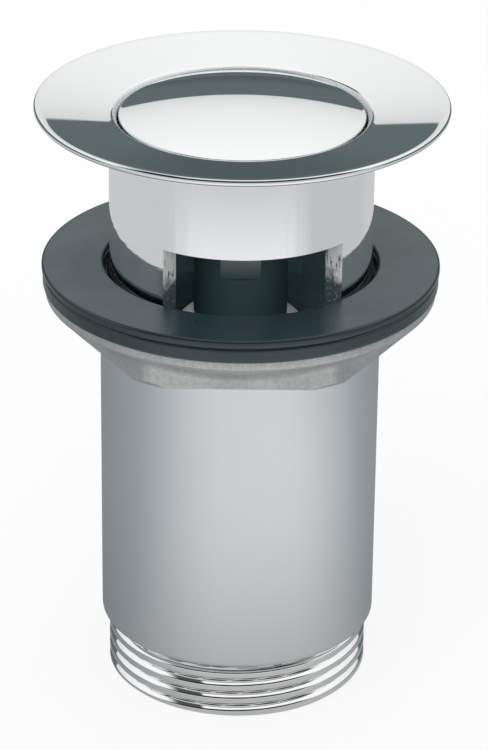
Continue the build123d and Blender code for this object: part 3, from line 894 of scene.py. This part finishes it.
# Studio: a pale floor that shows painted shade in reflections, white surroundings with a dark wall low
# behind, soft light and the camera
studio = {
    "white": (0.982, 0.982, 0.982),
    # degrees above the horizon and tone
    "grade": ((10.0, 0.58), (17.0, 0.68), (21.0, 0.795), (26.0, 0.865), (42.0, 0.98)),
    "dark": (0.077, 0.104, 0.106),
    "darkHigh": (0.113, 0.146, 0.148),
    "darkFrom": (4.0, 11.0),  # degrees above the horizon between which the dark wall gets paler
    "darkTop": 17.1,
    "darkEdge": 0.25,
    "darkHalfWidth": 105.0,  # degrees each side of straight behind
    "darkSideEdge": 12.0,
    "frontDark": (0.02, 0.03, 0.03),  # a dark band in front, behind the camera, lower towards its sides
    "frontBottom": 16.0,
    "frontEdge": 2.0,
    "frontTop": (0.68, 0.71),  # upward part of a direction, less its forward part times the lean
    "frontLean": 0.52,
    "frontHalfWidth": 72.0,
    "frontSideEdge": 6.0,
    "strip": (0.075, 0.085, 0.087),
    "stripLeft": (-0.84, -0.66),  # sideways over upward, where its soft side starts and ends
    "stripRight": (-0.42, -0.36),
    "stripFrom": (0.53, 0.58),  # upward part of a direction where the strip starts
    "worldLight": 0.78,
    "floorRadius": 620 * mm,
    "floorSides": 96,
    "floorGap": 0.05 * mm,  # between the floor and the foot of the tail
    "floorColour": (0.94, 0.94, 0.94),
    "floorGlow": 0.8,  # share of the floor's own white in what the camera sees
    "floorWhite": (1.015, 1.015, 1.015),
    "nearTone": 0.43,  # painted shade of the floor in reflections, at the foot and further out
    "farTone": 0.92,
    "toneFrom": 10 * mm,
    "toneTo": 115 * mm,
    "fade": (180 * mm, 249 * mm),  # where the floor far off turns greyer again
    "fadeTone": 0.667,
    "sideTurn": (28.0, 66.0),  # degrees from the front at which the floor far off turns greyer
    "sideTone": 0.64,
    "streakScale": 14.0,  # rays that break up the change to the side's tone
    "streakReach": 0.10,
    "rightTone": 0.93,  # on top of that, to the right
    "rightFrom": (0.66, 0.9),
    "brightTurn": 15.0,  # degrees to the right of the front where the near floor is brightest
    "turnedTone": (0.62, 0.37),  # beside the object, near its foot and further out
    "turnedOver": (37 * mm, 142 * mm),
    "turnedFrom": (0.0, 0.88),
    "backFrom": (-0.9, 0.0),
    "backTone": 0.70,
    "nearby": (145 * mm, 182 * mm),  # where the near floor's painted shade gives way to that far off
    "tint": (1.01, 1.0, 1.0),
    "sideTint": (0.92, 1.0, 1.05),
    "farTint": (0.995, 1.0, 1.015),
    "tintFrom": (0.5, 0.95),
    "sunStrength": 0.75,
    "sunAngle": 50.0,
    "sunTurn": (38.0, -16.0, 0.0),
}
camera = {
    "place": (0.70 * mm, -496.75 * mm, 289.37 * mm),
    "tiltDown": 25.663,
    "roll": 0.65,
    "lens": 166.03,
    "sensor": 36.0,
    "sees": (50 * mm, 20.0),  # from how near to how far
}


def headingFrom(tree, vector):  # unit direction in plan
    unit = tree.nodes.new("ShaderNodeVectorMath")
    unit.operation = "NORMALIZE"
    link(tree, stretched(tree, vector, 1, 1, 0), unit.inputs[0])
    return unit.outputs[0]


# How far a heading points the given way, in degrees turned from the front to the right
def along(tree, vector, degrees):
    node = tree.nodes.new("ShaderNodeVectorMath")
    node.operation = "DOT_PRODUCT"
    node.inputs[1].default_value = (math.sin(math.radians(degrees)), -math.cos(math.radians(degrees)), 0)
    link(tree, vector, node.inputs[0])
    return node.outputs["Value"]


def cosine(degrees):
    return math.cos(math.radians(degrees))


# Upward parts of two directions, one below and one above a height in degrees
def aroundSine(degrees, edge):
    return math.sin(math.radians(degrees - edge)), math.sin(math.radians(degrees + edge))


def worldStudio(size):
    world = bpy.data.worlds.new("studio")
    bpy.context.scene.world = world
    world.use_nodes = True
    tree = world.node_tree
    tree.nodes.clear()
    direction = tree.nodes.new("ShaderNodeTexCoord").outputs["Generated"]
    split = tree.nodes.new("ShaderNodeSeparateXYZ")
    link(tree, direction, split.inputs[0])
    upward = split.outputs["Z"]
    below = mapRange(tree, upward, *aroundSine(size["darkTop"], size["darkEdge"]), 1.0, 0.0, smooth=True)
    wide = cosine(size["darkHalfWidth"] + size["darkSideEdge"])
    narrow = cosine(size["darkHalfWidth"] - size["darkSideEdge"])
    heading = headingFrom(tree, direction)
    behind = mapRange(tree, along(tree, heading, 180.0), wide, narrow, 0.0, 1.0, smooth=True)
    frontWide = cosine(size["frontHalfWidth"] + size["frontSideEdge"])
    frontNarrow = cosine(size["frontHalfWidth"] - size["frontSideEdge"])
    front = mapRange(tree, along(tree, heading, 0.0), frontWide, frontNarrow, 0.0, 1.0, smooth=True)
    leaning = mathNode(tree, "MULTIPLY", split.outputs["Y"], size["frontLean"])
    leaning = mathNode(tree, "ADD", upward, leaning)
    low = mapRange(tree, leaning, *size["frontTop"], 1.0, 0.0, smooth=True)
    bottom = aroundSine(size["frontBottom"], size["frontEdge"])
    above = mapRange(tree, upward, *bottom, 0.0, 1.0, smooth=True)
    front = mathNode(tree, "MULTIPLY", front, above)
    lean = mathNode(tree, "DIVIDE", split.outputs["X"], upward)
    overhead = mapRange(tree, upward, *size["stripFrom"], 0.0, 1.0)
    fromLeft = mapRange(tree, lean, *size["stripLeft"], 0.0, 1.0, smooth=True)
    toRight = mapRange(tree, lean, *size["stripRight"], 1.0, 0.0, smooth=True)
    inStrip = mathNode(tree, "MULTIPLY", mathNode(tree, "MULTIPLY", fromLeft, toRight), overhead)
    bright = tree.nodes.new("ShaderNodeValToRGB")
    stops = bright.color_ramp.elements
    while len(stops) < len(size["grade"]):
        stops.new(1.0)
    for stop, (degrees, tone) in zip(stops, size["grade"]):
        stop.position = math.sin(math.radians(degrees))
        stop.color = (tone, tone, tone, 1)
    link(tree, upward, bright.inputs["Fac"])
    reflected = mixColour(tree, inStrip, bright.outputs["Color"], size["strip"])
    reflected = mixColour(tree, mathNode(tree, "MULTIPLY", low, front), reflected, size["frontDark"])
    darkStart, darkEnd = (math.sin(math.radians(degrees)) for degrees in size["darkFrom"])
    paler = mapRange(tree, upward, darkStart, darkEnd, 0.0, 1.0, smooth=True)
    wall = mixColour(tree, paler, size["dark"], size["darkHigh"])
    reflected = mixColour(tree, mathNode(tree, "MULTIPLY", below, behind), reflected, wall)
    path = tree.nodes.new("ShaderNodeLightPath")
    light = (size["worldLight"],) * 3
    soft = mixColour(tree, path.outputs["Is Glossy Ray"], light, reflected)
    seen = mixColour(tree, path.outputs["Is Camera Ray"], soft, size["white"])
    back = tree.nodes.new("ShaderNodeBackground")
    out = tree.nodes.new("ShaderNodeOutputWorld")
    link(tree, seen, back.inputs["Color"])
    link(tree, back.outputs[0], out.inputs["Surface"])


def floorFinish(size):  # pale, with its own white to the camera, and in reflections a glowing tone of painted shade: darker at the foot, greyer to the sides and behind
    material, tree, shader, place = newFinish("paleFloor", Roughness=1.0, Specular_IOR_Level=0.0)
    shader.inputs["Base Color"].default_value = (*size["floorColour"], 1.0)
    away = distanceFromAxis(tree, place)
    heading = headingFrom(tree, place)
    tones = size["nearTone"], size["farTone"]
    tone = mapRange(tree, away, size["toneFrom"], size["toneTo"], *tones, smooth=True)
    first, last = size["sideTurn"]
    streaks = noiseNode(tree, heading, size["streakScale"], 4.0, 0.7)
    reach = mapRange(tree, streaks, 0.3, 0.7, -size["streakReach"], size["streakReach"])
    forward = mathNode(tree, "ADD", along(tree, heading, 0.0), reach)
    fade = mapRange(tree, away, *size["fade"], 1.0, size["fadeTone"], smooth=True)
    side = mapRange(tree, forward, cosine(first), cosine(last), fade, size["sideTone"], smooth=True)
    rightward = along(tree, heading, 90.0)
    rightward = mapRange(tree, rightward, *size["rightFrom"], 1.0, size["rightTone"], smooth=True)
    side = mathNode(tree, "MULTIPLY", side, rightward)
    turned = along(tree, heading, size["brightTurn"])
    beside = mapRange(tree, away, *size["turnedOver"], *size["turnedTone"])
    around = mapRange(tree, turned, *size["turnedFrom"], beside, 1.0)
    backward = mapRange(tree, turned, *size["backFrom"], size["backTone"], 1.0)
    around = mathNode(tree, "MULTIPLY", around, backward)
    factor = mapRange(tree, away, *size["nearby"], around, side, smooth=True)
    sideways = mapRange(tree, around, *size["tintFrom"], 1.0, 0.0)
    nearTint = mixColour(tree, sideways, size["tint"], size["sideTint"])
    distant = mapRange(tree, away, *size["nearby"], 0.0, 1.0, smooth=True)
    tint = mixColour(tree, distant, nearTint, size["farTint"])
    grey = tree.nodes.new("ShaderNodeVectorMath")
    grey.operation = "SCALE"
    link(tree, tint, grey.inputs[0])
    link(tree, mathNode(tree, "MULTIPLY", tone, factor), grey.inputs["Scale"])
    path = tree.nodes.new("ShaderNodeLightPath")
    glow = tree.nodes.new("ShaderNodeEmission")
    shown = mixColour(tree, path.outputs["Is Camera Ray"], grey.outputs[0], size["floorWhite"])
    link(tree, shown, glow.inputs["Color"])
    own = mathNode(tree, "MULTIPLY", path.outputs["Is Camera Ray"], size["floorGlow"])
    share = mathNode(tree, "ADD", own, path.outputs["Is Glossy Ray"], clamp=True)
    mixed = tree.nodes.new("ShaderNodeMixShader")
    link(tree, share, mixed.inputs[0])
    link(tree, shader.outputs[0], mixed.inputs[1])
    link(tree, glow.outputs[0], mixed.inputs[2])
    link(tree, mixed.outputs[0], tree.nodes["Material Output"].inputs["Surface"])
    return material


def floorPiece(size):
    bm = bmesh.new()
    bmesh.ops.create_circle(bm, cap_ends=True, segments=size["floorSides"], radius=size["floorRadius"])
    bmesh.ops.translate(bm, verts=bm.verts, vec=(0, 0, cadLow.z - size["floorGap"]))
    mesh = bpy.data.meshes.new("floor")
    bm.to_mesh(mesh)
    bm.free()
    floor = bpy.data.objects.new("floor", mesh)
    bpy.context.scene.collection.objects.link(floor)
    mesh.materials.append(floorFinish(size))


def sunLamp(size):
    lamp = bpy.data.lights.new("softSun", "SUN")
    lamp.energy = size["sunStrength"]
    lamp.angle = math.radians(size["sunAngle"])
    sun = bpy.data.objects.new("softSun", lamp)
    sun.rotation_euler = [math.radians(a) for a in size["sunTurn"]]
    sun.visible_glossy = False
    bpy.context.scene.collection.objects.link(sun)


def placeCamera(size):
    data = bpy.data.cameras.new("photoView")
    data.lens = size["lens"]
    data.sensor_width = size["sensor"]
    data.clip_start, data.clip_end = size["sees"]
    view = bpy.data.objects.new("photoView", data)
    bpy.context.scene.collection.objects.link(view)
    tilt = Matrix.Rotation(math.radians(90 - size["tiltDown"]), 4, "X")
    roll = Matrix.Rotation(math.radians(size["roll"]), 4, "Z")
    view.matrix_world = Matrix.Translation(size["place"]) @ tilt @ roll
    bpy.context.scene.camera = view


worldStudio(studio)
floorPiece(studio)
sunLamp(studio)
placeCamera(camera)
bpy.context.scene.view_settings.view_transform = "Standard"
print("studio set")
